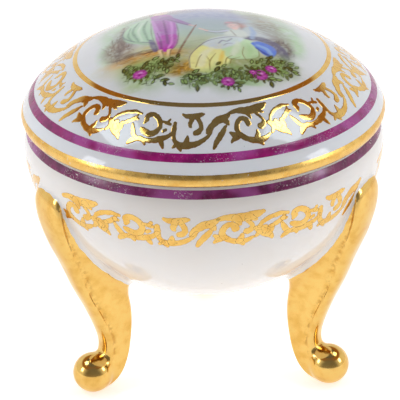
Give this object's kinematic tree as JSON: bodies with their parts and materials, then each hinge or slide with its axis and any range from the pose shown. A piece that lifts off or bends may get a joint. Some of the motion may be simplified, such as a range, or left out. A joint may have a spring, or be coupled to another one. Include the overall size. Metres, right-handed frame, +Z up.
{
  "type": "porcelain trinket box",
  "caption": "Small round porcelain trinket box with a domed lift-off lid on a locating flange, a deep bowl, and gilded cabriole legs with ball toes.",
  "frame": {"origin": "on the surface that the feet stand on, on the vertical axis of the bowl and lid", "axes": "+Z up along the box's axis; -Y is the front, midway between the two front legs; +X to the right seen from the front"},
  "size_m": [0.0786, 0.0796, 0.0792],
  "materials": {
    "white_porcelain": "glossy clear glaze",
    "gilt_porcelain": "bright gilding over glaze"
  },
  "bodies": {
    "base": {"bowl": "white_porcelain", "leg_front_left": "gilt_porcelain", "leg_front_right": "gilt_porcelain", "leg_rear": "gilt_porcelain"},
    "lid": {"lid": "white_porcelain"}
  },
  "joints": [
    {"name": "lid_lift", "type": "slide", "parent": "base", "child": "lid", "axis": [0, 0, 1], "range_m": [0, 0.045]}
  ]
}
